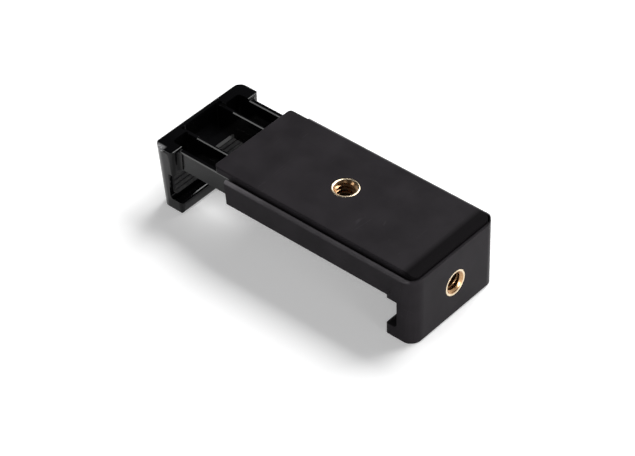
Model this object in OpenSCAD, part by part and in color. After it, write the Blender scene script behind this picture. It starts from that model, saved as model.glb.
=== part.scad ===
/* [Grip] */
// Smallest distance between the two jaw pads, with the slide pushed in
gap_closed = 59.8; // [50:0.1:66]
// Travel of the slide between its two stops
stroke = 25; // [22:0.5:30]
// How far the slide is pulled out as stored
pull = 18.1; // [14:0.1:21.5]
// Depth of the grip, from the bed pad to the lips
grip_depth = 8.3; // [7:0.1:12]
// Thickness of the two lips
lip_t = 4; // [2.5:0.1:4.5]
// Reach of the lips past the plastic of the jaws
lip_reach = 4.1; // [2.6:0.1:5]

/* [Body] */
// Thickness of the side rails at their foot
rail_t = 2.3; // [2.2:0.1:4]
// Draft of each side rail over its height
rail_draft = 0.6; // [0.2:0.1:0.9]
// Height of the rim above the seat of the back plate
rim_rise = 1.1; // [0.7:0.1:1.6]
// Radius of the rounded rim
rim_r = 0.95; // [0.6:0.05:1.1]
// Radius of the upright corners at the fixed end
end_r = 4.6; // [2.5:0.1:5.5]
// Wall between the end insert and the face of the fixed jaw
end_wall = 0.6; // [0.5:0.1:3]
// Extra thickness of the fixed end above the floor
end_step = 1.75; // [1:0.05:3]
// Thickness of the floor that the slide runs on
floor_t = 1; // [0.8:0.1:1.6]
// Gap between the rails and the jaw's shoulder, with the slide pushed in
mouth_gap = 0.65; // [0.5:0.05:3]
// Width of the groove beside the back plate
groove_w = 0.95; // [0.6:0.05:1.1]
// Depth of the groove below the seat of the back plate
groove_d = 1; // [0.5:0.1:2]

/* [Back plate] */
// Thickness of the back plate
plate_t = 2.4; // [2.1:0.1:3.2]
// Reach of the back plate past the mouth of the rails
plate_reach = 5.5; // [2:0.1:7]
// Gap between the back plate and the fixed end face
plate_end_gap = 1; // [0.9:0.1:3]
// Radius of the corners of the back plate
plate_r = 1.8; // [0.8:0.1:3]
// Length of the rounded fall at the fixed end of the back plate
plate_fall = 3; // [1.5:0.1:4]

/* [Slide] */
// Thickness of the sliding jaw behind its pad
slide_jaw_t = 5.3; // [4.8:0.1:7]
// Reach of the sliding jaw's shoulder over the grip
shoulder = 2.2; // [1:0.1:2.5]
// Thickness of the tongue floor
tongue_floor = 1.4; // [1:0.1:2]
// Thickness of the outer walls of the tongue
wall_t = 1.5; // [0.9:0.05:2]
// Thickness of the two inner ribs
rib_t = 1; // [0.7:0.05:1.6]
// Height of the sliding jaw above the tongue
jaw_step = 0.6; // [0.3:0.1:0.9]
// Wall left at the outside of the sliding jaw
jaw_wall = 1.7; // [1.2:0.1:2.2]
// Radius of the upright corners of the sliding jaw
jaw_r = 4; // [1.5:0.1:4.5]
// Radius of the flares between the jaw and the tongue
flare_r = 1.1; // [0.8:0.1:1.6]
// Width of the window through the tongue floor
window_w = 8.4; // [6:0.1:10]
// Distance from the sliding jaw to the window
window_x = 4.2; // [3:0.1:6]

/* [Threads] */
// Radius of the threaded holes, at the crest of a quarter inch thread
thread_r = 2.55; // [2.4:0.01:3]
// Wall of the brass inserts around their threads
insert_wall = 1.4; // [1.1:0.1:2]
// Wall of the boss around the back insert
boss_wall = 1.8; // [1.2:0.1:2.6]
// Length of the insert in the back plate
back_insert_len = 6; // [4:0.1:7]
// Length of the insert in the fixed end
end_insert_len = 4.8; // [4:0.1:8]
// Distance from the screw at the mouth to the back thread
thread_from_screw = 22.2; // [16:0.1:24]
// Height of the end thread above the foot of the lips
end_thread_z = 10.65; // [8:0.05:12]

/* [Pads] */
// Thickness of the jaw pads
jaw_pad_t = 1; // [0.8:0.1:1.4]
// Thickness of the bed pad
bed_pad_t = 0.5; // [0.4:0.05:0.8]
// Grooves across each jaw pad
pad_grooves = 3; // [1:1:4]

/* [Springs and pins] */
// Outer diameter of the springs
spring_d = 4.4; // [3.6:0.1:5.2]
// Diameter of the spring wire
wire_d = 0.5; // [0.3:0.05:0.6]
// Number of spring coils
coils = 22; // [12:1:26]
// Diameter of the spring pins
pin_d = 2; // [1.6:0.1:2.3]
// Distance from the end of the cavity to the body's spring pins
pin_inset = 3.65; // [3:0.05:5]

/* [Screws] */
// Diameter of the screw shanks
screw_d = 2; // [1.6:0.1:2.4]
// Diameter of the screw heads
screw_head_d = 3.8; // [3.2:0.1:4.4]
// Length of the screws under the head
screw_len = 5.5; // [4.5:0.1:6.4]
// Distance from the back thread to the middle screw
middle_screw_x = 14.3; // [12:0.1:16]
// Distance between the two screws at the fixed end
end_screw_pitch = 10.4; // [8:0.1:12]

/* [Hidden] */
$fn = 48;
ARC = 8;                 // steps in a quarter of a rounded corner
SHARP = 0.01;            // radius of a corner that stays sharp
eps = 0.05;              // reach of a cut past the face that it opens
over = 1;                // reach of a blank past the outline that trims it

// Clearances
slide_clear = 0.2;       // slide to floor and cover
side_clear = 0.25;       // slide to each rail
seat_clear = 0.02;       // around a pressed insert, pin or screw
stop_clear = 0.3;        // at a stop
boss_clear = 0.9;        // back boss to each rib
floor_clear = 0.25;      // back boss to the sides of the forked floor
fork_clear = 0.55;       // back boss to the end of the forked floor
window_clear = 1.4;      // mouth screw's boss to the end of the window
tip_clear = 0.4;         // tips of the tongue to the body's pin bosses
end_screw_clear = 0.9;   // tips of the tongue to the end screws' bosses
spring_side = 0.6;       // springs to the walls of their channels
spring_over = 0.3;       // springs to the tongue floor and the back plate
loop_clear = 0.25;       // spring loop to its pin
head_clear = 0.15;       // around a screw head
shank_clear = 0.25;      // around a screw shank in the body
pin_top_clear = 0.5;     // spring pins to the back plate
pad_gap = 0.2;           // jaw pad to the bed

// Small walls and radii
blind_t = 0.4;           // material left under a spring pin
slot_wall = 1.5;         // tongue floor left at the tips
pin_wall = 0.3;          // from a stop slot to the boss of a slide pin
pin_boss_wall = 1.1;
pin_boss_h = 1.2;
screw_boss_wall = 0.5;
screw_head_h = 1.15;
head_sink = 1.3;         // screw seat above the underside of the floor
head_wall = 1.2;         // body above the screw seat
screw_point = 1;
point_d = 0.6;
recess_l = 2.2;
recess_w = 0.5;
recess_d = 0.6;
screw_room = 0.3;        // hole left past a screw's point
insert_foot = 1;         // clearance hole below the back insert
foot_room = 0.3;         // clearance hole around the thread
lug_l = 2;
lug_w = 2;
lug_h = 1.4;
foot_r = 0.8;
lip_r = 1.2;
lip_corner_r = 1.5;
inner_r = 1;
edge_r = 0.4;
brow_r = 0.8;            // top edge at the outside of the sliding jaw
side_r = 0.8;            // top edges at the sides of the sliding jaw
end_rim_r = 0.5;         // top edge of the fixed end
shoulder_r = 1.8;        // upright edges of the shoulder
jaw_over = 0.3;          // sliding jaw past each side of the body
jaw_draft = 0.9;         // draft of the sliding jaw over its height
pocket_inset = 2.1;      // outer pockets further in than the middle one
mouth_r = 1.6;
chamfer = 0.3;           // lower edges of the tongue
ease = 0.25;             // tops of the walls and ribs
pocket_r = 0.8;
side_pocket_r = 1.2;
slot_r = 0.3;
gusset_lead = 0.9;
gusset_back = 3.15;
gusset_rise = 6.2;
gusset_run = 4;
flare_drop = 0.1;        // flare below the tops of the walls
pad_end = 1.5;
pad_corner_r = 1;
pad_groove_w = 0.6;
bed_pad_side = 2.5;
bed_pad_end = 1.7;
bed_pad_r = 2;

// Diameters that follow from what they hold
insert_d = 2 * (thread_r + insert_wall);
boss_d = insert_d + 2 * boss_wall;
pin_boss_d = pin_d + 2 * pin_boss_wall;
screw_boss_d = screw_head_d + 2 * screw_boss_wall;

// Levels, up from the foot of the lips
z_lip = lip_t;
z_bed = z_lip + grip_depth;
z_floor = z_bed + bed_pad_t;
z_run = z_floor + floor_t;
z_tongue = z_run + slide_clear;
z_tongue_floor = z_tongue + tongue_floor;
z_seat = z_tongue_floor + spring_d + 2 * spring_over;
z_rib = z_seat - slide_clear;
z_jaw = z_rib + jaw_step;
z_rim = z_seat + rim_rise;
z_top = z_seat + plate_t;
z_groove = z_seat - groove_d;
z_over = z_jaw + slide_clear;
z_spring = (z_tongue_floor + z_seat) / 2;
z_pin = z_seat - pin_top_clear;
z_head = z_floor + head_sink;
z_boss = z_head + head_wall;

// Widths, out from the middle plane
y_rib_in = boss_d / 2 + boss_clear;
y_rib_out = y_rib_in + rib_t;
y_channel = y_rib_out + spring_d + 2 * spring_side;
y_tongue = y_channel + wall_t;
y_cavity = y_tongue + side_clear;
y_body = y_cavity + rail_t;
y_jaw = y_body + jaw_over;
y_plate = y_body - rim_r - groove_w;
y_spring = (y_channel + y_rib_out) / 2;
y_fork = boss_d / 2 + floor_clear;

// Places along the clamp, with the stored part centred on zero
fixed_jaw_t = end_insert_len + end_wall;
x_end = (slide_jaw_t + fixed_jaw_t + 2 * jaw_pad_t + gap_closed + pull) / 2;
x_fixed = x_end - fixed_jaw_t;
x_outer = -x_end;
x_slide = x_outer + slide_jaw_t;
x_shoulder = x_slide + shoulder;
x_mouth = x_shoulder + pull + mouth_gap;
x_cavity = x_fixed - end_step;
x_plate0 = x_mouth - plate_reach;
x_plate1 = x_end - plate_end_gap;
x_body_pin = x_cavity - pin_inset;
x_tip = x_body_pin - pin_boss_d / 2 - tip_clear - pull;
x_slot1 = x_tip - slot_wall;
x_lug = x_slot1 - lug_l / 2 - stop_clear - (stroke - pull);
x_slot0 = x_lug - lug_l / 2 - stop_clear - pull;
x_slide_pin = x_slot0 - pin_wall - pin_boss_d / 2;
x_window = x_slide + window_x;
x_mouth_screw = x_window + pull + window_clear + screw_boss_d / 2;
x_back_thread = x_mouth_screw + thread_from_screw;
x_end_screw = x_tip + pull + end_screw_clear + screw_boss_d / 2;
x_fork = x_back_thread - boss_d / 2 - pull - fork_clear;
MOUTH_SCREW = [x_mouth_screw, 0];
MIDDLE_SCREW = [x_back_thread + middle_screw_x, 0];
FAR_SCREW = [x_end_screw, end_screw_pitch / 2];
NEAR_SCREW = [x_end_screw, -end_screw_pitch / 2];
SCREWS = [MOUTH_SCREW, MIDDLE_SCREW, FAR_SCREW, NEAR_SCREW];

// Points of an arc about c, from angle a0 to angle a1
function arc(c, r, a0, a1, n = ARC) =
    [for (i = [0:n]) let (a = a0 + (a1 - a0) * i / n) c + r * [cos(a), sin(a)]];

// Rectangle with a radius of its own at each corner, from the upper right and anticlockwise
function rounded(x0, x1, y0, y1, r) = concat(
    arc([x1 - r[0], y1 - r[0]], r[0], 0, 90),
    arc([x0 + r[1], y1 - r[1]], r[1], 90, 180),
    arc([x0 + r[2], y0 + r[2]], r[2], 180, 270),
    arc([x1 - r[3], y0 + r[3]], r[3], 270, 360));

// Outline in X and Z, given thickness along Y
module side_prism(points, half_w) {
    rotate([90, 0, 0]) linear_extrude(2 * half_w, center = true) polygon(points);
}

// Outline in Y and Z, given length along X
module cross_prism(points, x0, x1) {
    translate([x0, 0, 0]) rotate([90, 0, 90]) linear_extrude(x1 - x0) polygon(points);
}

// Outline in X and Y, given height along Z
module plan_prism(points, z0, z1) {
    translate([0, 0, z0]) linear_extrude(z1 - z0) polygon(points);
}

// The same piece at both sides of the middle plane
module both_sides() {
    children();
    mirror([0, 1, 0]) children();
}

function mirrored(points) = [for (i = [len(points) - 1:-1:0]) [-points[i][0], points[i][1]]];

// Section of the floor and the two side rails, with their draft and rounded rims
function rail_half() = concat(
    [[y_body - rail_draft - edge_r, z_floor], [y_body - rail_draft, z_floor + edge_r]],
    arc([y_body - rim_r, z_rim - rim_r], rim_r, 0, 90),
    [[y_cavity, z_rim], [y_cavity, z_run]]);

module rails() {
    cross_prism(concat(rail_half(), mirrored(rail_half())), x_mouth, x_fixed + inner_r);
}

// Side outline of the fixed end: block, jaw and lip
function fixed_end_side() = concat(
    [[x_end - foot_r, 0]],
    arc([x_end - foot_r, foot_r], foot_r, 270, 360),
    arc([x_end - end_rim_r, z_rim - end_rim_r], end_rim_r, 0, 90),
    [[x_cavity, z_rim], [x_cavity, z_floor], [x_fixed, z_floor]],
    arc([x_fixed - inner_r, z_lip + inner_r], inner_r, 0, -90),
    arc([x_fixed - lip_reach + lip_r, z_lip - lip_r], lip_r, 90, 180),
    arc([x_fixed - lip_reach + lip_r, lip_r], lip_r, 180, 270));

module fixed_end() {
    intersection() {
        side_prism(fixed_end_side(), y_body + over);
        plan_prism(rounded(x_fixed - lip_reach, x_end, -y_body, y_body,
                           [end_r, lip_corner_r, lip_corner_r, end_r]), -over, z_rim + over);
        cross_prism(rounded(-y_body, y_body, 0, z_rim, [rim_r, rim_r, foot_r, foot_r]),
                    x_fixed - lip_reach - over, x_end + over);
    }
}

// Gusset that widens each rail into the fixed end
function gusset_face(lead) = let (x = x_fixed - gusset_back - lead) [
    [x, z_floor], [x_end - end_r, z_floor], [x_end - end_r, z_rim - rim_r],
    [x + gusset_run + 1, z_rim - rim_r], [x + gusset_run, z_floor + gusset_rise]];

module gusset() {
    hull() {
        translate([0, y_body - rail_draft - edge_r, 0]) rotate([90, 0, 0])
            linear_extrude(SHARP) polygon(gusset_face(gusset_lead));
        translate([0, y_body, 0]) rotate([90, 0, 0])
            linear_extrude(SHARP) polygon(gusset_face(0));
    }
}

// Outline of the back plate's seat with the groove around it
function seat_outline() = rounded(
    x_mouth - over, x_plate1 + plate_end_gap * 0.4, -y_plate - groove_w, y_plate + groove_w,
    [plate_r + groove_w, SHARP, SHARP, plate_r + groove_w]);

module plate_seat() {
    plan_prism(seat_outline(), z_seat, z_top + over);
    difference() {
        plan_prism(seat_outline(), z_groove, z_top);
        plan_prism(rounded(x_mouth - 2 * over, x_plate1, -y_plate, y_plate,
                           [plate_r, SHARP, SHARP, plate_r]), z_groove - over, z_top + over);
    }
}

// Rounded lead-in at the mouth of each rail
module mouth_lead() {
    plan_prism(concat([[x_mouth - eps, y_cavity - eps], [x_mouth + mouth_r, y_cavity - eps]],
                      arc([x_mouth + mouth_r, y_cavity + mouth_r], mouth_r, 270, 180),
                      [[x_mouth - eps, y_cavity + mouth_r]]), z_run, z_rim + over);
}

module body_shell() {
    color([0.17, 0.165, 0.17]) difference() {
        union() {
            rails();
            fixed_end();
            both_sides() gusset();
            both_sides() translate([x_lug - lug_l / 2, y_spring - lug_w / 2, z_run - eps])
                cube([lug_l, lug_w, lug_h + eps]);
            both_sides() translate([x_body_pin, y_spring, z_run - eps])
                cylinder(d = pin_boss_d, h = z_tongue_floor + pin_boss_h - z_run + eps);
            for (p = SCREWS) translate([p[0], p[1], z_run - eps])
                cylinder(d = screw_boss_d, h = z_boss - z_run + eps);
        }
        plate_seat();
        both_sides() mouth_lead();
        both_sides() translate([x_body_pin, y_spring, z_floor + blind_t])
            cylinder(d = pin_d + 2 * seat_clear, h = z_top - z_floor);
        for (p = SCREWS) translate([p[0], p[1], z_floor - eps]) {
            cylinder(d = screw_head_d + 2 * head_clear, h = z_head - z_floor + eps);
            cylinder(d = screw_d + 2 * shank_clear, h = z_top - z_floor);
        }
        translate([x_end - end_insert_len, 0, end_thread_z]) rotate([0, 90, 0])
            cylinder(d = insert_d + 2 * seat_clear, h = end_insert_len + over);
    }
}

// Side outline of the back plate, with its fall towards the fixed end
function plate_side() = concat(
    [for (i = [0:ARC]) let (a = 90 * i / ARC)
        [x_plate1 - plate_fall * (1 - sin(a)), z_rim + (z_top - z_rim) * cos(a)]],
    [[x_plate1, z_seat], [x_mouth, z_seat], [x_mouth, z_over],
     [x_plate0 + edge_r, z_over], [x_plate0, z_over + edge_r]],
    arc([x_plate0 + edge_r, z_top - edge_r], edge_r, 180, 90, 3));

module back_plate() {
    color([0.19, 0.185, 0.19]) difference() {
        union() {
            intersection() {
                side_prism(plate_side(), y_plate + over);
                plan_prism(rounded(x_plate0, x_plate1, -y_plate, y_plate,
                                   [plate_r, plate_r, plate_r, plate_r]),
                           z_seat - over, z_top + over);
                cross_prism(rounded(-y_plate, y_plate, z_seat - over, z_top,
                                    [edge_r, edge_r, SHARP, SHARP]),
                            x_plate0 - over, x_plate1 + over);
            }
            translate([x_back_thread, 0, z_run]) cylinder(d = boss_d, h = z_seat - z_run + eps);
            for (p = SCREWS) translate([p[0], p[1], z_boss])
                cylinder(d = screw_boss_d, h = z_seat - z_boss + eps);
        }
        translate([x_back_thread, 0, z_top - back_insert_len])
            cylinder(d = insert_d + 2 * seat_clear, h = back_insert_len + over);
        translate([x_back_thread, 0, z_top - back_insert_len - insert_foot])
            cylinder(r = thread_r + foot_room, h = 2 * insert_foot);
        for (p = SCREWS) translate([p[0], p[1], z_boss - eps])
            cylinder(d = screw_d + 2 * seat_clear, h = z_head + screw_len + screw_room - z_boss + eps);
    }
}

// Threaded insert, standing on the foot of its bore, with a waist that keys it in
module insert(l) {
    mouth = 0.65;
    waist_d = 0.35;
    waist_w = 0.9;
    rim = 0.1;
    r = insert_d / 2;
    rotate_extrude() polygon([
        [thread_r, 0], [r - waist_d, 0], [r, waist_d],
        [r, l / 2 - waist_w], [r - waist_d, l / 2 - waist_w / 2],
        [r - waist_d, l / 2 + waist_w / 2], [r, l / 2 + waist_w],
        [r, l - rim], [r - rim, l], [thread_r + mouth, l], [thread_r, l - mouth]]);
}

module back_insert() {
    color([0.85, 0.68, 0.42]) translate([x_back_thread, 0, z_top - back_insert_len])
        insert(back_insert_len);
}

module end_insert() {
    color([0.85, 0.68, 0.42]) translate([x_end - end_insert_len, 0, end_thread_z])
        rotate([0, 90, 0]) insert(end_insert_len);
}

// Section of the tongue: floor, outer walls and inner ribs with eased tops
function eased_wall(y0, y1) = [[y1, z_tongue_floor], [y1, z_rib - ease], [y1 - ease, z_rib],
                               [y0 + ease, z_rib], [y0, z_rib - ease], [y0, z_tongue_floor]];
function tongue_half() = concat(
    [[y_tongue - chamfer, z_tongue], [y_tongue, z_tongue + chamfer], [y_tongue, z_rib - ease],
     [y_tongue - ease, z_rib], [y_channel + ease, z_rib], [y_channel, z_rib - ease],
     [y_channel, z_tongue_floor]],
    eased_wall(y_rib_in, y_rib_out));

module tongue() {
    cross_prism(concat(tongue_half(), mirrored(tongue_half())), x_slide - over, x_tip);
}

// Side outline of the sliding jaw, with its lip and its shoulder over the grip
function slide_side() = concat(
    arc([x_shoulder - edge_r, z_jaw - edge_r], edge_r, 0, 90, 3),
    arc([x_outer + brow_r, z_jaw - brow_r], brow_r, 90, 180),
    arc([x_outer + jaw_draft + foot_r, foot_r], foot_r, 180, 270),
    arc([x_slide + lip_reach - lip_r, lip_r], lip_r, 270, 360),
    arc([x_slide + lip_reach - lip_r, z_lip - lip_r], lip_r, 0, 90),
    arc([x_slide + inner_r, z_lip + inner_r], inner_r, 270, 180),
    [[x_slide, z_floor], [x_shoulder, z_floor]]);

// End outline of the sliding jaw, narrower towards the foot
function slide_end() = concat(
    arc([y_jaw - side_r, z_jaw - side_r], side_r, 0, 90),
    arc([-y_jaw + side_r, z_jaw - side_r], side_r, 90, 180),
    arc([-y_jaw + jaw_draft + foot_r, foot_r], foot_r, 180, 270),
    arc([y_jaw - jaw_draft - foot_r, foot_r], foot_r, 270, 360));

// Thin slice of the drafted block that the sliding jaw is cut from
module jaw_layer(z) {
    d = jaw_draft * max(0, 1 - z / (z_jaw - brow_r));
    plan_prism(rounded(x_outer + d, x_slide + lip_reach, -y_jaw + d, y_jaw - d,
                       [lip_corner_r, jaw_r, jaw_r, lip_corner_r]), z, z + SHARP);
}

// Rounding of the shoulder's upright edge
module shoulder_corner() {
    x0 = x_shoulder - shoulder_r;
    y0 = y_jaw - shoulder_r;
    plan_prism(concat([[x_shoulder + over, y_jaw + over], [x0, y_jaw + over]],
                      arc([x0, y0], shoulder_r, 90, 0), [[x_shoulder + over, y0]]),
               z_floor - over, z_jaw + over);
}

module sliding_jaw() {
    difference() {
        intersection() {
            side_prism(slide_side(), y_jaw + over);
            hull() {
                jaw_layer(z_jaw + over);
                jaw_layer(z_jaw - brow_r);
                jaw_layer(-over);
            }
            cross_prism(slide_end(), x_outer - over, x_slide + lip_reach + over);
        }
        jaw_pockets();
        both_sides() shoulder_corner();
    }
}

// Pockets that carry the channels of the tongue on into the jaw
module jaw_pockets() {
    x0 = x_outer + jaw_wall;
    x1 = x_shoulder + 2 * over;
    plan_prism(rounded(x0, x1, -y_rib_in, y_rib_in, [SHARP, pocket_r, pocket_r, SHARP]),
               z_tongue_floor, z_jaw + over);
    both_sides() plan_prism(rounded(x0 + pocket_inset, x1, y_rib_out, y_channel,
                                    [SHARP, side_pocket_r, pocket_r, SHARP]),
                            z_tongue_floor, z_jaw + over);
    both_sides() plan_prism(rounded(x0, x1, y_rib_in - eps, y_rib_out + eps,
                                    [SHARP, slot_r, slot_r, SHARP]), z_rib, z_jaw + over);
}

// Flare from the sliding jaw into the outer wall of the tongue
module flare() {
    y0 = y_tongue - chamfer;
    x0 = x_shoulder - edge_r;
    plan_prism(concat([[x0, y0], [x_shoulder + flare_r, y0]],
                      arc([x_shoulder + flare_r, y_tongue + flare_r], flare_r, 270, 180),
                      [[x0, y_tongue + flare_r]]), z_tongue, z_rib - flare_drop);
}

module slide_jaw() {
    color([0.07, 0.07, 0.075]) difference() {
        union() {
            tongue();
            sliding_jaw();
            both_sides() flare();
            both_sides() translate([x_slide_pin, y_spring, z_tongue_floor - eps])
                cylinder(d = pin_boss_d, h = pin_boss_h + eps);
        }
        plan_prism(rounded(x_window, x_tip + over, -window_w / 2, window_w / 2,
                           [SHARP, pocket_r, pocket_r, SHARP]),
                   z_tongue - over, z_tongue_floor + eps);
        plan_prism(rounded(x_fork, x_tip + over, -y_fork, y_fork,
                           [SHARP, pocket_r, pocket_r, SHARP]),
                   z_tongue - over, z_tongue_floor + eps);
        both_sides() plan_prism(rounded(x_slot0, x_slot1,
                                        y_spring - lug_w / 2 - stop_clear,
                                        y_spring + lug_w / 2 + stop_clear,
                                        [slot_r, slot_r, slot_r, slot_r]),
                                z_tongue - over, z_tongue_floor + eps);
        both_sides() translate([x_slide_pin, y_spring, z_tongue + blind_t])
            cylinder(d = pin_d + 2 * seat_clear, h = z_jaw - z_tongue);
    }
}

// Spring: a loop round each pin, a leg to the coils and the coils between
loop_r = pin_d / 2 + wire_d / 2 + loop_clear;
coil_r = spring_d / 2 - wire_d / 2;
leg_run = 1.4;
coil_x0 = x_slide_pin + loop_r + leg_run;
coil_x1 = x_body_pin - loop_r - leg_run;
SIDES = 5;
TURN = 10;
function loop_in() = [for (a = [60:30:270])
    [x_slide_pin + loop_r * cos(a), loop_r * sin(a), 0]];
function coil_path() = [for (i = [0:coils * TURN])
    let (a = 360 * i / TURN, x = coil_x0 + (coil_x1 - coil_x0) * i / (coils * TURN))
    [x, -coil_r * cos(a), -coil_r * sin(a)]];
function loop_out() = [for (a = [270:30:480])
    [x_body_pin + loop_r * cos(a), loop_r * sin(a), 0]];
function spring_path() = concat(loop_in(), coil_path(), loop_out());
function unit(v) = v / norm(v);

module spring() {
    p = spring_path();
    n = len(p);
    t = [for (i = [0:n - 1]) unit(p[min(i + 1, n - 1)] - p[max(i - 1, 0)])];
    u = [for (i = 0, v = [0, 0, 1]; i < n;
              i = i + 1, v = i < n ? unit(v - (v * t[i]) * t[i]) : v) v];
    ring = [for (i = [0:n - 1]) for (k = [0:SIDES - 1])
        let (a = 360 * k / SIDES, w = cross(t[i], u[i]))
        p[i] + wire_d / 2 * (cos(a) * u[i] + sin(a) * w)];
    sides = [for (i = [0:n - 2]) for (k = [0:SIDES - 1])
        let (a = i * SIDES + k, b = i * SIDES + (k + 1) % SIDES)
        each [[a, a + SIDES, b + SIDES], [a, b + SIDES, b]]];
    ends = [[for (k = [0:SIDES - 1]) k],
            [for (k = [SIDES - 1:-1:0]) (n - 1) * SIDES + k]];
    polyhedron(ring, concat(sides, ends), convexity = 10);
}

module spring_near() {
    color([0.75, 0.76, 0.78]) translate([0, -y_spring, z_spring]) mirror([0, 1, 0]) spring();
}

module spring_far() {
    color([0.75, 0.76, 0.78]) translate([0, y_spring, z_spring]) spring();
}

// Steel pin with eased ends, standing on z0
module pin(x, y, z0) {
    r = pin_d / 2;
    color([0.7, 0.71, 0.73]) translate([x, y, z0]) rotate_extrude() polygon([
        [0, 0], [r - ease, 0], [r, ease],
        [r, z_pin - z0 - ease], [r - ease, z_pin - z0], [0, z_pin - z0]]);
}

module slide_pin_near() { pin(x_slide_pin, -y_spring, z_tongue + blind_t); }
module slide_pin_far() { pin(x_slide_pin, y_spring, z_tongue + blind_t); }
module body_pin_near() { pin(x_body_pin, -y_spring, z_floor + blind_t); }
module body_pin_far() { pin(x_body_pin, y_spring, z_floor + blind_t); }

// Jaw pad with grooves along its grip face, standing on the plane x = 0
module jaw_pad() {
    z0 = z_lip + inner_r;
    z1 = z_bed - pad_gap;
    y1 = y_body - pad_end;
    pitch = (z1 - z0) / (pad_grooves + 1);
    depth = jaw_pad_t * 0.3;
    intersection() {
        difference() {
            translate([0, -y1, z0]) cube([jaw_pad_t, 2 * y1, z1 - z0]);
            for (i = [1:pad_grooves])
                translate([jaw_pad_t - depth, -y_body, z0 + pitch * i - pad_groove_w / 2])
                    cube([depth + over, 2 * y_body, pad_groove_w]);
        }
        cross_prism(rounded(-y1, y1, z0, z1,
                            [pad_corner_r, pad_corner_r, pad_corner_r, pad_corner_r]),
                    -over, jaw_pad_t + over);
    }
}

module slide_jaw_pad() {
    color([0.05, 0.05, 0.05]) translate([x_slide, 0, 0]) jaw_pad();
}

module fixed_jaw_pad() {
    color([0.05, 0.05, 0.05]) translate([x_fixed, 0, 0]) mirror([1, 0, 0]) jaw_pad();
}

module bed_pad() {
    y1 = y_body - bed_pad_side;
    color([0.06, 0.06, 0.06])
        plan_prism(rounded(x_mouth + bed_pad_end, x_fixed - jaw_pad_t - bed_pad_end, -y1, y1,
                           [bed_pad_r, bed_pad_r, bed_pad_r, bed_pad_r]), z_bed, z_floor);
}

// Pan head screw with a cross recess, driven up into the back plate
module cover_screw(p) {
    color([0.6, 0.61, 0.63]) translate([p[0], p[1], z_head]) difference() {
        union() {
            translate([0, 0, -screw_head_h]) cylinder(d = screw_head_d, h = screw_head_h);
            translate([0, 0, -eps]) cylinder(d = screw_d, h = screw_len - screw_point + eps);
            translate([0, 0, screw_len - screw_point])
                cylinder(d1 = screw_d, d2 = point_d, h = screw_point);
        }
        for (a = [0, 90]) rotate([0, 0, a])
            translate([-recess_l / 2, -recess_w / 2, -screw_head_h - eps])
                cube([recess_l, recess_w, recess_d + eps]);
    }
}

module cover_screw_mouth() { cover_screw(MOUTH_SCREW); }
module cover_screw_middle() { cover_screw(MIDDLE_SCREW); }
module cover_screw_far() { cover_screw(FAR_SCREW); }
module cover_screw_near() { cover_screw(NEAR_SCREW); }

body_shell();
back_plate();
back_insert();
end_insert();
slide_jaw();
spring_near();
spring_far();
slide_pin_near();
slide_pin_far();
body_pin_near();
body_pin_far();
fixed_jaw_pad();
slide_jaw_pad();
bed_pad();
cover_screw_mouth();
cover_screw_middle();
cover_screw_far();
cover_screw_near();
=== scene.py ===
"""Looks of a sprung clamp adapter for a tripod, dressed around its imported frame."""

import math

import bpy
from bpy.props import FloatProperty, FloatVectorProperty, IntProperty, PointerProperty
from mathutils import Matrix, Vector


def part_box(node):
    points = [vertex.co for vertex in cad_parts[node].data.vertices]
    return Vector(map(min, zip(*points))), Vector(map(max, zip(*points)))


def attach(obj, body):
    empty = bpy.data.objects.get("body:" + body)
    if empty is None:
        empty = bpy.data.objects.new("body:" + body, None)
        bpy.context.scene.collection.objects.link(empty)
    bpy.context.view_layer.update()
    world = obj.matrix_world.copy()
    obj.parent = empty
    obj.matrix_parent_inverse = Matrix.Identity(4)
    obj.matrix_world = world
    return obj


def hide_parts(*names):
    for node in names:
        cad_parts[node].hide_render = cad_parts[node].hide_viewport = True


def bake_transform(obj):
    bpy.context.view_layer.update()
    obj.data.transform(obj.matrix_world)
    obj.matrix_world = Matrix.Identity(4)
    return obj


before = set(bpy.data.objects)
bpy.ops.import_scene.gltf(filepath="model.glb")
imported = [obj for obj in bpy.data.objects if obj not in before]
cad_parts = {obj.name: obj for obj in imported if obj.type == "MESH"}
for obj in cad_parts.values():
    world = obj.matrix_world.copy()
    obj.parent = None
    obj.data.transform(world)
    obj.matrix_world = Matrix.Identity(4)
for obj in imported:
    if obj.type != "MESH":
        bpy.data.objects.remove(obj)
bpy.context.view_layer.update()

bl_info = {
    "name": "Tripod clamp adapter",
    "version": (1, 0, 0),
    "blender": (4, 5, 0),
    "location": "View3D > Sidebar > Adapter",
    "description": "Dresses the packed clamp adapter with its finishes, threads and springs",
    "category": "Object",
}

MM = 0.001

# Places taken from the frame
BACK_LOW, BACK_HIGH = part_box("back_insert")
END_LOW, END_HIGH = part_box("end_insert")
PIN_LOW, PIN_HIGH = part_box("slide_pin_near")
HOOK_LOW, HOOK_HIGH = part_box("body_pin_near")
SPRING_LOW, SPRING_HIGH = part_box("spring_near")


class ShellSettings(bpy.types.PropertyGroup):
    edge: FloatProperty(
        name="Edge radius", description="Rounding on the moulded shell's edges",
        default=0.12 * MM, unit="LENGTH")
    colour: FloatVectorProperty(
        name="Colour", description="Colour of the satin black plastic",
        default=(0.0198, 0.0178, 0.0200), size=3, subtype="COLOR")
    roughness: FloatProperty(
        name="Roughness", description="Roughness of the satin finish",
        default=0.38, min=0.05, max=1.0, subtype="FACTOR")
    gloss: FloatProperty(
        name="Gloss", description="Specular level of the satin finish",
        default=0.03, min=0.0, max=1.0, subtype="FACTOR")
    # Painted highlight: pale colour painted along the rails' rounded rims.
    painted_highlight: FloatVectorProperty(
        name="Worn colour", description="Colour of the rails' rims, where handling has rubbed them",
        default=(0.168, 0.160, 0.169), size=3, subtype="COLOR")


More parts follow.
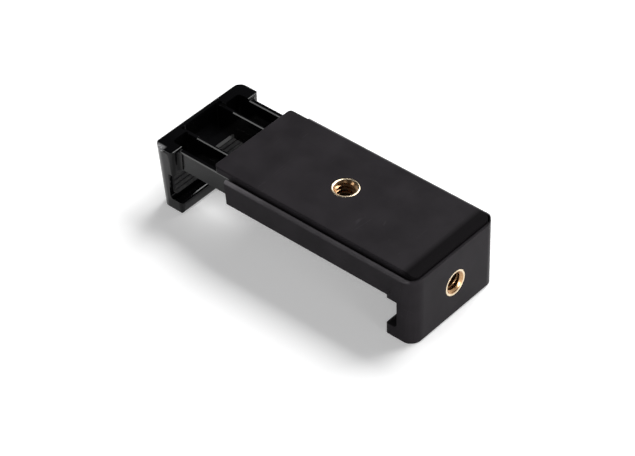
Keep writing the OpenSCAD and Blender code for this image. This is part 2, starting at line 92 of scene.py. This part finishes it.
class SlideSettings(bpy.types.PropertyGroup):
    edge: FloatProperty(
        name="Edge radius", description="Rounding on the slide's edges",
        default=0.1 * MM, unit="LENGTH")
    colour: FloatVectorProperty(
        name="Colour", description="Colour of the glossy black plastic",
        default=(0.0016, 0.0016, 0.0019), size=3, subtype="COLOR")
    roughness: FloatProperty(
        name="Roughness", description="Roughness of the gloss finish",
        default=0.13, min=0.02, max=1.0, subtype="FACTOR")
    gloss: FloatProperty(
        name="Gloss", description="Specular level of the gloss finish",
        default=0.25, min=0.0, max=1.0, subtype="FACTOR")
    # Painted highlight: pale colour painted on the sliding jaw's near top corner.
    painted_highlight: FloatVectorProperty(
        name="Worn colour", description="Colour of the near top corner, where it is scuffed",
        default=(0.30, 0.30, 0.305), size=3, subtype="COLOR")


class InsertSettings(bpy.types.PropertyGroup):
    mouth: FloatProperty(
        name="Mouth", description="Width of the chamfer at the mouth of the thread",
        default=0.78 * MM, unit="LENGTH")
    lip: FloatProperty(
        name="Lip", description="Rounding of the narrow lip round the mouth",
        default=0.26 * MM, unit="LENGTH")
    sink: FloatProperty(
        name="Sink", description="How far the insert's end lies under the plastic",
        default=0.03 * MM, unit="LENGTH")
    crest_radius: FloatProperty(
        name="Crest radius", description="Radius of the bore inside the thread",
        default=2.55 * MM, unit="LENGTH")
    root_radius: FloatProperty(
        name="Root radius", description="Radius at the bottom of the thread",
        default=3.175 * MM, unit="LENGTH")
    pitch: FloatProperty(
        name="Pitch", description="Distance between two threads, 20 to the inch",
        default=1.27 * MM, unit="LENGTH")
    colour: FloatVectorProperty(
        name="Colour", description="Colour of the brass",
        default=(0.82, 0.70, 0.51), size=3, subtype="COLOR")


class SpringSettings(bpy.types.PropertyGroup):
    wire: FloatProperty(
        name="Wire", description="Diameter of the spring wire",
        default=0.5 * MM, unit="LENGTH")
    coils: IntProperty(
        name="Coils", description="Number of coils between the legs",
        default=22, min=6, max=40)


class StageSettings(bpy.types.PropertyGroup):
    azimuth: FloatProperty(
        name="Azimuth", description="Camera's turn round the adapter",
        default=math.radians(42.24), subtype="ANGLE")
    elevation: FloatProperty(
        name="Elevation", description="Camera's height above the horizon",
        default=math.radians(41.28), subtype="ANGLE")
    roll: FloatProperty(
        name="Roll", description="Camera's tilt about its own axis",
        default=math.radians(-1.8), subtype="ANGLE")
    distance: FloatProperty(
        name="Distance", description="From the camera to the point that it looks at",
        default=0.6928, unit="LENGTH")
    lens: FloatProperty(
        name="Lens", description="Focal length in millimetres on a 36 mm sensor",
        default=148.3)
    aim: FloatVectorProperty(
        name="Aim", description="Point that the camera looks at",
        default=(0.00165, -0.00399, 0.0077), size=3, subtype="XYZ")
    key: FloatProperty(
        name="Key", description="Power of the softbox on the far side", default=24.0)
    side: FloatProperty(
        name="Side", description="Power of the softbox at the near left", default=0.9)
    end: FloatProperty(
        name="End", description="Power of the low lamp that faces the fixed end", default=5.0)
    fill: FloatProperty(
        name="Fill", description="Power of the weak panel above the camera", default=1.2)


class AdapterSettings(bpy.types.PropertyGroup):
    shell: PointerProperty(type=ShellSettings)
    slide: PointerProperty(type=SlideSettings)
    insert: PointerProperty(type=InsertSettings)
    spring: PointerProperty(type=SpringSettings)
    stage: PointerProperty(type=StageSettings)


def settings():
    return bpy.context.scene.adapter


def deselect():
    if bpy.context.mode != "OBJECT":
        bpy.ops.object.mode_set(mode="OBJECT")
    bpy.ops.object.select_all(action="DESELECT")


def pick(piece):
    deselect()
    piece.select_set(True)
    bpy.context.view_layer.objects.active = piece


def name_piece(piece, name):
    piece.name = name
    piece.data.name = name


def smooth(piece, degrees=35.0):
    pick(piece)
    bpy.ops.object.shade_smooth_by_angle(angle=math.radians(degrees))


def finish_piece(piece, material, body):
    """Gives a finished piece its material and its body."""
    pick(piece)
    bpy.ops.object.transform_apply(location=True, rotation=True, scale=True)
    piece.data.materials.clear()
    piece.data.materials.append(material)
    if body:
        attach(piece, body)
    deselect()


def copy_node(node, name):
    """A free copy of a frame node, with its loose triangles merged into clean faces."""
    pick(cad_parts[node])
    bpy.ops.object.duplicate()
    piece = bpy.context.object
    name_piece(piece, name)
    piece.parent = None
    for key in [k for k in piece.keys() if k.startswith("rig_")]:
        del piece[key]
    bpy.ops.object.mode_set(mode="EDIT")
    bpy.ops.mesh.select_all(action="SELECT")
    bpy.ops.mesh.remove_doubles(threshold=0.001 * MM)
    bpy.ops.mesh.dissolve_limited(angle_limit=math.radians(0.6))
    bpy.ops.mesh.customdata_custom_splitnormals_clear()
    bpy.ops.object.mode_set(mode="OBJECT")
    return piece


def round_edges(piece, radius, degrees=38.0, segments=2):
    pick(piece)
    bevel = piece.modifiers.new("Edges", "BEVEL")
    bevel.width = radius
    bevel.segments = segments
    bevel.limit_method = "ANGLE"
    bevel.angle_limit = math.radians(degrees)
    bevel.use_clamp_overlap = True
    bevel.harden_normals = False
    bpy.ops.object.modifier_apply(modifier=bevel.name)


def merge_slivers(piece):
    """Merges points that lie closer than a lathe or a mould could tell apart."""
    pick(piece)
    bpy.ops.object.mode_set(mode="EDIT")
    bpy.ops.mesh.select_all(action="SELECT")
    bpy.ops.mesh.remove_doubles(threshold=0.002 * MM)
    bpy.ops.mesh.dissolve_degenerate(threshold=0.002 * MM)
    bpy.ops.object.mode_set(mode="OBJECT")


def flatten_normals(piece):
    """Keeps the large faces flat in shading, so that only the rounded edges turn."""
    pick(piece)
    weighted = piece.modifiers.new("Normals", "WEIGHTED_NORMAL")
    weighted.mode = "FACE_AREA"
    weighted.weight = 100
    weighted.keep_sharp = True
    bpy.ops.object.modifier_apply(modifier=weighted.name)


class Shader:
    """A material being built, with short ways to add its nodes."""

    def __init__(self, name, colour, roughness, metallic=0.0, specular=0.5):
        self.material = bpy.data.materials.new(name)
        self.material.use_nodes = True
        self.nodes = self.material.node_tree.nodes
        self.links = self.material.node_tree.links
        self.surface = self.nodes["Principled BSDF"]
        self.surface.inputs["Base Color"].default_value = (*colour, 1.0)
        self.surface.inputs["Roughness"].default_value = roughness
        self.surface.inputs["Metallic"].default_value = metallic
        self.surface.inputs["Specular IOR Level"].default_value = specular
        self.place = self.nodes.new("ShaderNodeTexCoord").outputs["Object"]

    def add(self, kind, **values):
        node = self.nodes.new(kind)
        for key, value in values.items():
            if hasattr(node, key):
                setattr(node, key, value)
            else:
                node.inputs[key.replace("_", " ").title()].default_value = value
        return node

    def mapped(self, scale=(1, 1, 1), turn=(0, 0, 0), shift=(0, 0, 0)):
        node = self.add("ShaderNodeMapping")
        node.inputs["Scale"].default_value = scale
        node.inputs["Rotation"].default_value = turn
        node.inputs["Location"].default_value = shift
        self.links.new(self.place, node.inputs["Vector"])
        return node.outputs["Vector"]

    def noise(self, scale, detail=3.0, rough=0.5, place=None, distortion=0.0):
        node = self.add("ShaderNodeTexNoise", scale=scale, detail=detail,
                        roughness=rough, distortion=distortion)
        self.links.new(place or self.place, node.inputs["Vector"])
        return node.outputs["Fac"]

    def span(self, value, low, high, to_low=0.0, to_high=1.0):
        node = self.add("ShaderNodeMapRange")
        for key, number in zip(("From Min", "From Max", "To Min", "To Max"),
                               (low, high, to_low, to_high)):
            node.inputs[key].default_value = number
        self.links.new(value, node.inputs["Value"])
        return node.outputs["Result"]

    def maths(self, operation, first, second):
        node = self.add("ShaderNodeMath", operation=operation)
        for socket, value in zip(node.inputs, (first, second)):
            if isinstance(value, (int, float)):
                socket.default_value = value
            else:
                self.links.new(value, socket)
        return node.outputs["Value"]

    def mixed(self, factor, first, second):
        node = self.add("ShaderNodeMix", data_type="RGBA")
        self.links.new(factor, node.inputs[0])
        for socket, value in ((node.inputs[6], first), (node.inputs[7], second)):
            if isinstance(value, tuple):
                socket.default_value = (*value, 1.0)
            else:
                self.links.new(value, socket)
        return node.outputs[2]

    def bump(self, height, distance, strength=1.0, below=None):
        node = self.add("ShaderNodeBump")
        node.inputs["Strength"].default_value = strength
        node.inputs["Distance"].default_value = distance
        self.links.new(height, node.inputs["Height"])
        if below is not None:
            self.links.new(below, node.inputs["Normal"])
        return node.outputs["Normal"]

    def use(self, socket, value):
        self.links.new(value, self.surface.inputs[socket])


def shaded(colour, factor):
    return tuple(c * factor for c in colour)


def scratches(shader, scale, turn, width, cover):
    """Thin hairlines along one direction, kept to a few patches."""
    along = shader.mapped(scale=(scale, scale * 0.06, scale), turn=(0, 0, turn))
    cells = shader.add("ShaderNodeTexVoronoi", feature="DISTANCE_TO_EDGE", scale=1.0)
    shader.links.new(along, cells.inputs["Vector"])
    line = shader.span(cells.outputs["Distance"], 0.0, width, 1.0, 0.0)
    patch = shader.span(shader.noise(160.0, detail=1.0), cover, cover + 0.06)
    return shader.maths("MULTIPLY", line, patch)


def rim_highlight(shader):
    """Painted highlight: the rails' rounded rims made pale, most of all near their mouth."""
    parts = shader.add("ShaderNodeSeparateXYZ")
    shader.links.new(shader.place, parts.inputs[0])
    aside = shader.maths("ABSOLUTE", parts.outputs["Y"], 0.0)
    outer = shader.span(aside, 16.2 * MM, 16.7 * MM)
    high = shader.span(parts.outputs["Z"], 20.45 * MM, 21.05 * MM)
    along = shader.span(parts.outputs["X"], -19.0 * MM, -3.0 * MM, 1.0, 0.35)
    patchy = shader.span(shader.noise(240.0, detail=3.0), 0.25, 0.6, 0.75, 1.0)
    edge = shader.maths("MULTIPLY", outer, high)
    return shader.maths("MULTIPLY", edge, shader.maths("MULTIPLY", along, patchy))


def matt_fall_shade(shader):
    """Where the back plate rolls over at its end, which is left matt and darkened with painted shade.
    """
    parts = shader.add("ShaderNodeSeparateXYZ")
    shader.links.new(shader.place, parts.inputs[0])
    along = shader.span(parts.outputs["X"], 39.8 * MM, 41.6 * MM)
    high = shader.span(parts.outputs["Z"], 21.3 * MM, 21.6 * MM)
    return shader.maths("MULTIPLY", along, high)


def satin_black():
    """Moulded plastic with a fine spark-eroded grain, a few hairlines, painted highlights on the
    rails' rims and painted shade on the plate's end fall.
    """
    look = settings().shell
    colour = tuple(look.colour)
    shader = Shader("satin_black_plastic", colour, look.roughness, specular=look.gloss)
    cloud = shader.noise(90.0, detail=4.0)
    grain = shader.noise(5200.0, detail=2.0, rough=0.6)
    lines = scratches(shader, 420.0, math.radians(28.0), 0.02, 0.64)
    tone = shader.mixed(shader.span(cloud, 0.35, 0.65), shaded(colour, 0.85), shaded(colour, 1.15))
    marked = shader.mixed(lines, tone, shaded(colour, 1.6))
    # Painted shade: the plate's end fall is darkened to 0.3 of the colour and made rougher.
    fall_shade = matt_fall_shade(shader)
    marked = shader.mixed(fall_shade, marked, shaded(colour, 0.3))
    # Painted highlight: the rails' rims are mixed toward the pale highlight colour.
    shader.use("Base Color", shader.mixed(rim_highlight(shader), marked, tuple(look.painted_highlight)))
    spread = shader.span(cloud, 0.3, 0.7, look.roughness - 0.03, look.roughness + 0.04)
    shader.use("Roughness", shader.maths("ADD", spread, shader.maths("MULTIPLY", fall_shade, 0.45)))
    shader.use("Normal", shader.bump(grain, 0.012 * MM, 0.5))
    return shader.material


def corner_highlight(shader):
    """Painted highlight: the near top corner of the sliding jaw made pale, in specks."""
    parts = shader.add("ShaderNodeSeparateXYZ")
    shader.links.new(shader.place, parts.inputs[0])
    near = shader.span(parts.outputs["Y"], -16.7 * MM, -15.7 * MM, 1.0, 0.0)
    high = shader.span(parts.outputs["Z"], 19.8 * MM, 20.3 * MM)
    outer = shader.span(parts.outputs["X"], -41.6 * MM, -40.8 * MM, 1.0, 0.0)
    speck = shader.span(shader.noise(1500.0, detail=3.0), 0.35, 0.6, 0.4, 1.0)
    edge = shader.maths("MULTIPLY", near, high)
    return shader.maths("MULTIPLY", edge, shader.maths("MULTIPLY", outer, speck))


def gloss_black():
    """Moulded plastic with a polished skin, faint flow marks, dust-fine pits and a painted highlight
    on its near top corner.
    """
    look = settings().slide
    colour = tuple(look.colour)
    shader = Shader("gloss_black_plastic", colour, look.roughness, specular=look.gloss)
    flow = shader.noise(60.0, detail=2.0, place=shader.mapped(scale=(0.4, 1.0, 1.0)))
    pits = shader.noise(3800.0, detail=2.0)
    tone = shader.mixed(shader.span(flow, 0.35, 0.65), shaded(colour, 0.8), shaded(colour, 1.3))
    # Painted highlight on the near top corner, which is also made rougher there.
    painted_corner_glint = corner_highlight(shader)
    shader.use("Base Color", shader.mixed(painted_corner_glint, tone, tuple(look.painted_highlight)))
    sheen = shader.span(flow, 0.3, 0.7, look.roughness - 0.03, look.roughness + 0.05)
    shader.use("Roughness", shader.maths("ADD", sheen, shader.maths("MULTIPLY", painted_corner_glint, 0.3)))
    waves = shader.bump(flow, 0.05 * MM, 0.35)
    shader.use("Normal", shader.bump(pits, 0.004 * MM, 0.4, below=waves))
    return shader.material


def turned_brass(name, centre, axis):
    """Brass with turning rings about its own axis, darker in patches where it is not rubbed, with
    painted shade deep in the bore.
    """
    size = settings().insert
    colour = tuple(size.colour)
    shader = Shader(name, colour, 0.26, metallic=1.0)
    moved = shader.mapped(shift=tuple(-c for c in centre))
    parts = shader.add("ShaderNodeSeparateXYZ")
    shader.links.new(moved, parts.inputs[0])
    across = [parts.outputs[i] for i in range(3) if i != axis]
    squares = [shader.maths("MULTIPLY", a, a) for a in across]
    radius = shader.maths("SQRT", shader.maths("ADD", *squares), 0.0)
    rings = shader.maths("SINE", shader.maths("MULTIPLY", radius, 2 * math.pi / (0.09 * MM)), 0.0)
    cloud = shader.noise(900.0, detail=4.0)
    stain = shader.span(cloud, 0.42, 0.68)
    # Painted shade: dark brown deep in the bore, inside a radius of 3.2 to 3.42 mm.
    bore_shade = shader.span(radius, 3.2 * MM, 3.42 * MM, 1.0, 0.0)
    stain = shader.maths("MULTIPLY", stain, 0.35)
    tarnish_and_shade = shader.mixed(shader.maths("MAXIMUM", stain, shader.maths("MULTIPLY", bore_shade, 0.85)),
                        colour, (0.38, 0.19, 0.07))
    shader.use("Base Color", tarnish_and_shade)
    shader.use("Roughness", shader.span(cloud, 0.3, 0.7, 0.22, 0.32))
    fine = shader.bump(shader.span(rings, -1.0, 1.0), 0.002 * MM, 0.4)
    shader.use("Normal", fine)
    return shader.material


def matt_rubber():
    """Soft rubber with a dusty bloom."""
    shader = Shader("matt_rubber", (0.014, 0.014, 0.015), 0.82, specular=0.3)
    dust = shader.span(shader.noise(700.0, detail=5.0), 0.45, 0.75)
    shader.use("Base Color", shader.mixed(dust, (0.012, 0.012, 0.013), (0.034, 0.033, 0.032)))
    shader.use("Roughness", shader.span(shader.noise(260.0), 0.3, 0.7, 0.74, 0.9))
    shader.use("Normal", shader.bump(shader.noise(3000.0, detail=3.0), 0.02 * MM, 0.6))
    return shader.material


def drawn_steel():
    """Bright spring and pin steel with fine drawing lines."""
    shader = Shader("drawn_steel", (0.56, 0.57, 0.59), 0.28, metallic=1.0)
    lines = shader.noise(1500.0, detail=3.0, place=shader.mapped(scale=(0.1, 1.0, 1.0)))
    shader.use("Base Color", shader.mixed(lines, (0.50, 0.51, 0.53), (0.63, 0.64, 0.66)))
    shader.use("Roughness", shader.span(lines, 0.3, 0.7, 0.2, 0.36))
    shader.use("Normal", shader.bump(lines, 0.006 * MM, 0.5))
    return shader.material


def zinc_steel():
    """Plated screw steel with a faint bluish mottle."""
    shader = Shader("zinc_steel", (0.47, 0.48, 0.5), 0.34, metallic=1.0)
    mottle = shader.noise(800.0, detail=4.0)
    shader.use("Base Color", shader.mixed(mottle, (0.40, 0.42, 0.46), (0.56, 0.56, 0.55)))
    shader.use("Roughness", shader.span(mottle, 0.3, 0.7, 0.28, 0.44))
    shader.use("Normal", shader.bump(shader.noise(2600.0), 0.008 * MM, 0.5))
    return shader.material


def dress(node, name, material, body, edge, segments=2):
    piece = copy_node(node, name)
    round_edges(piece, edge, segments=segments)
    merge_slivers(piece)
    smooth(piece)
    flatten_normals(piece)
    finish_piece(piece, material, body)
    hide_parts(node)
    return piece


class ADAPTER_OT_shell(bpy.types.Operator):
    """Dress the moulded shell and its back plate in satin black plastic"""
    bl_idname = "adapter.shell"
    bl_label = "Shell and back plate"

    def execute(self, context):
        satin = satin_black()
        edge = settings().shell.edge
        dress("body_shell", "moulded_shell", satin, "body", edge)
        dress("back_plate", "cover_plate", satin, "body", edge)
        return {"FINISHED"}


class ADAPTER_OT_slide(bpy.types.Operator):
    """Dress the sliding jaw in glossy black plastic"""
    bl_idname = "adapter.slide"
    bl_label = "Sliding jaw"

    def execute(self, context):
        dress("slide_jaw", "sliding_jaw", gloss_black(), "slide",
              settings().slide.edge)
        return {"FINISHED"}


def helix_cutter(length):
    """Solid ridge that cuts one internal thread, upright on the origin."""
    size = settings().insert
    turns = math.ceil(length / size.pitch) + 2
    bpy.ops.mesh.primitive_plane_add(size=1.0)
    cutter = bpy.context.object
    inner, outer = size.crest_radius - 0.15 * MM, size.root_radius
    wide, narrow = size.pitch * 0.46, size.pitch * 0.07
    low = -1.5 * size.pitch
    corners = ((inner, low - wide), (outer, low - narrow), (outer, low + narrow), (inner, low + wide))
    for vertex, (x, z) in zip((0, 1, 3, 2), corners):
        cutter.data.vertices[vertex].co = (x, 0.0, z)
    screw = cutter.modifiers.new("Thread", "SCREW")
    screw.axis = "Z"
    screw.angle = 2 * math.pi
    screw.screw_offset = size.pitch
    screw.iterations = turns
    screw.steps = screw.render_steps = 48
    screw.use_merge_vertices = False
    bpy.ops.object.modifier_apply(modifier=screw.name)
    bpy.ops.object.mode_set(mode="EDIT")
    bpy.ops.mesh.select_all(action="SELECT")
    bpy.ops.mesh.remove_doubles(threshold=0.001 * MM)
    bpy.ops.mesh.fill_holes(sides=4)
    bpy.ops.mesh.normals_make_consistent(inside=False)
    bpy.ops.object.mode_set(mode="OBJECT")
    return cutter


def select_faces(piece, test):
    """In edit mode afterwards, with only the faces selected whose middle passes the test."""
    bpy.ops.object.mode_set(mode="EDIT")
    bpy.ops.mesh.select_all(action="DESELECT")
    bpy.ops.mesh.select_mode(type="FACE")
    bpy.ops.object.mode_set(mode="OBJECT")
    for face in piece.data.polygons:
        face.select = test(face.center, face.normal)
    bpy.ops.object.mode_set(mode="EDIT")


def bevel_rings(piece, height, radii, offset, segments):
    """Bevels the round edges that lie at one height and have one of the radii."""
    bpy.ops.object.mode_set(mode="EDIT")
    bpy.ops.mesh.select_mode(type="EDGE")
    bpy.ops.mesh.select_all(action="DESELECT")
    bpy.ops.object.mode_set(mode="OBJECT")
    corners = piece.data.vertices
    for edge in piece.data.edges:
        ends = [corners[i].co for i in edge.vertices]
        edge.select = any(all(abs(e.z - height) < 0.01 * MM and abs(e.xy.length - radius) < 0.05 * MM
                              for e in ends) for radius in radii)
    bpy.ops.object.mode_set(mode="EDIT")
    bpy.ops.mesh.bevel(offset=offset, segments=segments, affect="EDGES")
    bpy.ops.object.mode_set(mode="OBJECT")


def threaded_insert(name, outer, length):
    """Brass insert standing on the origin: a bored tube with a cut thread."""
    size = settings().insert
    deselect()
    bpy.ops.mesh.primitive_cylinder_add(vertices=96, radius=outer, depth=length,
                                        location=(0, 0, length / 2))
    piece = bpy.context.object
    bpy.ops.object.transform_apply(location=True, rotation=True, scale=True)
    select_faces(piece, lambda c, n: abs(n.z) > 0.9)
    bpy.ops.mesh.inset(thickness=outer - size.crest_radius, depth=0.0)
    bpy.ops.object.mode_set(mode="OBJECT")
    select_faces(piece, lambda c, n: abs(n.z) > 0.9 and c.xy.length < 0.1 * outer)
    bpy.ops.mesh.bridge_edge_loops()
    bpy.ops.object.mode_set(mode="OBJECT")
    bevel_rings(piece, length, (size.crest_radius,), size.mouth, 1)
    bevel_rings(piece, length, (outer, size.crest_radius + size.mouth), size.lip, 4)
    cutter = helix_cutter(length)
    pick(piece)
    cut = piece.modifiers.new("Thread", "BOOLEAN")
    cut.operation = "DIFFERENCE"
    cut.solver = "EXACT"
    cut.object = cutter
    bpy.ops.object.modifier_apply(modifier=cut.name)
    bpy.data.objects.remove(cutter)
    merge_slivers(piece)
    name_piece(piece, name)
    return piece


class ADAPTER_OT_inserts(bpy.types.Operator):
    """Cut the two brass inserts with their quarter inch threads"""
    bl_idname = "adapter.inserts"
    bl_label = "Threaded inserts"

    def execute(self, context):
        outer = (BACK_HIGH.x - BACK_LOW.x) / 2
        sink = settings().insert.sink
        back = threaded_insert("back_thread_insert", outer, BACK_HIGH.z - BACK_LOW.z - sink)
        centre = (BACK_LOW + BACK_HIGH) / 2
        back.location = (centre.x, centre.y, BACK_LOW.z)
        smooth(back, 40.0)
        finish_piece(back, turned_brass("turned_brass_back", centre, 2), "body")
        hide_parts("back_insert")
        end = threaded_insert("end_thread_insert", outer, END_HIGH.x - END_LOW.x - sink)
        centre = (END_LOW + END_HIGH) / 2
        end.rotation_euler = (0.0, math.pi / 2, 0.0)
        end.location = (END_LOW.x, centre.y, centre.z)
        smooth(end, 40.0)
        finish_piece(end, turned_brass("turned_brass_end", centre, 0), "body")
        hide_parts("end_insert")
        return {"FINISHED"}


def spring_path(side):
    """Points of one spring: a loop round the slide's pin, the coils, a loop round the hook pin."""
    size = settings().spring
    pin = (PIN_LOW + PIN_HIGH) / 2
    hook = (HOOK_LOW + HOOK_HIGH) / 2
    middle = Vector((0.0, side * abs(pin.y), (SPRING_LOW.z + SPRING_HIGH.z) / 2))
    loop = (PIN_HIGH.x - PIN_LOW.x) / 2 + size.wire / 2 + 0.25 * MM
    coil = (SPRING_HIGH.z - SPRING_LOW.z) / 2 - size.wire / 2
    leg = loop + 1.4 * MM
    first, last = pin.x + leg, hook.x - leg
    steps = 20
    points = []
    for i in range(22):
        a = math.radians(60 + i * 10)
        points.append(Vector((pin.x + loop * math.cos(a), side * loop * math.sin(a), 0.0)))
    for i in range(size.coils * steps + 1):
        a = 2 * math.pi * i / steps
        x = first + (last - first) * i / (size.coils * steps)
        points.append(Vector((x, -side * coil * math.cos(a), -coil * math.sin(a))))
    for i in range(22):
        a = math.radians(270 + i * 10)
        points.append(Vector((hook.x + loop * math.cos(a), side * loop * math.sin(a), 0.0)))
    return [p + middle for p in points], first, last


def coiled_spring(name, side, material):
    size = settings().spring
    points, first, last = spring_path(side)
    deselect()
    bpy.ops.curve.primitive_nurbs_path_add()
    spring = bpy.context.object
    curve = spring.data
    curve.splines.clear()
    line = curve.splines.new("POLY")
    line.points.add(len(points) - 1)
    for point, place in zip(line.points, points):
        point.co = (*place, 1.0)
    curve.bevel_depth = size.wire / 2
    curve.bevel_resolution = 3
    curve.use_fill_caps = True
    bpy.ops.object.convert(target="MESH")
    spring = bpy.context.object
    name_piece(spring, name)
    smooth(spring, 60.0)
    finish_piece(spring, material, None)
    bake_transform(spring)
    return spring


class ADAPTER_OT_springs(bpy.types.Operator):
    """Wind the two springs between their pins"""
    bl_idname = "adapter.springs"
    bl_label = "Springs"

    def execute(self, context):
        steel = drawn_steel()
        near = coiled_spring("near_spring_coil", -1, steel)
        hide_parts("spring_near")
        far = coiled_spring("far_spring_coil", 1, steel)
        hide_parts("spring_far")
        for node in ("slide_pin_near", "slide_pin_far", "body_pin_near", "body_pin_far"):
            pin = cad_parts[node]
            pin.data.materials.clear()
            pin.data.materials.append(steel)
        return {"FINISHED"}


class ADAPTER_OT_pads(bpy.types.Operator):
    """Dress the rubber pads on the jaws and the bed"""
    bl_idname = "adapter.pads"
    bl_label = "Rubber pads"

    def execute(self, context):
        rubber = matt_rubber()
        edge = 0.08 * MM
        dress("fixed_jaw_pad", "fixed_jaw_rubber", rubber, "body", edge)
        dress("slide_jaw_pad", "sliding_jaw_rubber", rubber, "slide", edge)
        dress("bed_pad", "bed_rubber", rubber, "body", edge)
        return {"FINISHED"}


class ADAPTER_OT_screws(bpy.types.Operator):
    """Plate the four screws that hold the back plate"""
    bl_idname = "adapter.screws"
    bl_label = "Cover screws"

    def execute(self, context):
        zinc = zinc_steel()
        for end in ("mouth", "middle", "far", "near"):
            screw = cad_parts["cover_screw_" + end]
            screw.data.materials.clear()
            screw.data.materials.append(zinc)
        return {"FINISHED"}


def pale_floor():
    """White table that stays white to the camera and to reflections, and keeps the shadow."""
    shader = Shader("pale_floor", (0.86, 0.86, 0.86), 0.7, specular=0.2)
    path = shader.add("ShaderNodeLightPath")
    seen = shader.maths("MAXIMUM", path.outputs["Is Camera Ray"],
                        shader.maths("MAXIMUM", path.outputs["Is Glossy Ray"],
                                     path.outputs["Is Transmission Ray"]))
    shader.surface.inputs["Emission Color"].default_value = (1.0, 1.0, 1.0, 1.0)
    shader.use("Emission Strength", shader.maths("MULTIPLY", seen, 0.3))
    shader.use("Roughness", shader.span(shader.noise(8.0), 0.3, 0.7, 0.66, 0.74))
    return shader.material


def softbox(name, place, aim, size, power):
    bpy.ops.object.light_add(type="AREA", location=place)
    lamp = bpy.context.object
    lamp.name = name
    lamp.data.shape = "RECTANGLE"
    lamp.data.size, lamp.data.size_y = size
    lamp.data.energy = power
    lamp.rotation_euler = (Vector(aim) - Vector(place)).to_track_quat("-Z", "Y").to_euler()
    return lamp


def set_world():
    world = bpy.data.worlds.new("studio")
    bpy.context.scene.world = world
    world.use_nodes = True
    nodes, links = world.node_tree.nodes, world.node_tree.links
    back = nodes["Background"]
    split = nodes.new("ShaderNodeSeparateXYZ")
    links.new(nodes.new("ShaderNodeTexCoord").outputs["Generated"], split.inputs[0])
    band = nodes.new("ShaderNodeMapRange")
    for key, number in (("From Min", 0.1), ("From Max", 0.4), ("To Min", 1.0), ("To Max", 0.0)):
        band.inputs[key].default_value = number
    links.new(split.outputs["Z"], band.inputs["Value"])
    mix = nodes.new("ShaderNodeMix")
    mix.data_type = "RGBA"
    mix.inputs[6].default_value = (0.045, 0.045, 0.047, 1.0)
    mix.inputs[7].default_value = (1.0, 1.0, 1.0, 1.0)
    links.new(band.outputs["Result"], mix.inputs[0])
    links.new(mix.outputs[2], back.inputs["Color"])


def set_camera():
    view = settings().stage
    a, e = view.azimuth, view.elevation
    back = Vector((math.sin(a) * math.cos(e), -math.cos(a) * math.cos(e), math.sin(e)))
    place = Vector(view.aim) + back * view.distance
    bpy.ops.object.camera_add(location=place)
    camera = bpy.context.object
    camera.name = "camera"
    turn = (Matrix.Rotation(a, 3, "Z") @ Matrix.Rotation(math.pi / 2 - e, 3, "X")
            @ Matrix.Rotation(view.roll, 3, "Z"))
    camera.rotation_euler = turn.to_euler()
    camera.data.lens = view.lens
    camera.data.sensor_width = 36.0
    camera.data.clip_start, camera.data.clip_end = 0.01, 20.0
    bpy.context.scene.camera = camera


class ADAPTER_OT_stage(bpy.types.Operator):
    """Set the pale floor, the softboxes and the camera"""
    bl_idname = "adapter.stage"
    bl_label = "Stage"

    def execute(self, context):
        deselect()
        bpy.ops.mesh.primitive_grid_add(x_subdivisions=8, y_subdivisions=8, size=6.0,
                                        location=(0, 0, -0.02 * MM))
        floor = bpy.context.object
        name_piece(floor, "floor")
        floor.data.materials.append(pale_floor())
        look = settings().stage
        softbox("key_softbox", (0.05, 0.85, 1.0), (0, 0, 0), (0.95, 0.75), look.key)
        softbox("side_softbox", (-0.56, -0.73, 0.61), (0, 0, 0.01), (0.3, 0.16), look.side)
        softbox("end_softbox", (1.1, -0.25, 0.12), (0.04, 0, 0.01), (0.4, 0.16), look.end)
        softbox("fill_panel", (0.75, -0.83, 1.0), (0, 0, 0.02), (0.4, 0.4), look.fill)
        set_world()
        set_camera()
        context.scene.view_settings.view_transform = "Standard"
        deselect()
        return {"FINISHED"}


class ADAPTER_PT_panel(bpy.types.Panel):
    """Steps that dress the adapter, in order"""
    bl_label = "Adapter"
    bl_idname = "ADAPTER_PT_panel"
    bl_space_type = "VIEW_3D"
    bl_region_type = "UI"
    bl_category = "Adapter"

    def draw(self, context):
        for step in STEPS:
            self.layout.operator(step.bl_idname)
        look = context.scene.adapter
        for group in (look.shell, look.slide, look.insert, look.spring, look.stage):
            box = self.layout.box()
            for key in group.__annotations__:
                box.prop(group, key)


STEPS = (
    ADAPTER_OT_stage,
    ADAPTER_OT_shell,
    ADAPTER_OT_slide,
    ADAPTER_OT_inserts,
    ADAPTER_OT_springs,
    ADAPTER_OT_pads,
    ADAPTER_OT_screws,
)
CLASSES = (
    ShellSettings,
    SlideSettings,
    InsertSettings,
    SpringSettings,
    StageSettings,
    AdapterSettings,
    *STEPS,
    ADAPTER_PT_panel,
)


def register():
    for item in CLASSES:
        bpy.utils.register_class(item)
    bpy.types.Scene.adapter = PointerProperty(type=AdapterSettings)


def unregister():
    del bpy.types.Scene.adapter
    for item in reversed(CLASSES):
        bpy.utils.unregister_class(item)


def main():
    register()
    bpy.ops.adapter.stage()
    bpy.ops.adapter.shell()
    bpy.ops.adapter.slide()
    bpy.ops.adapter.inserts()
    bpy.ops.adapter.springs()
    bpy.ops.adapter.pads()
    bpy.ops.adapter.screws()


if __name__ == "__main__":
    main()
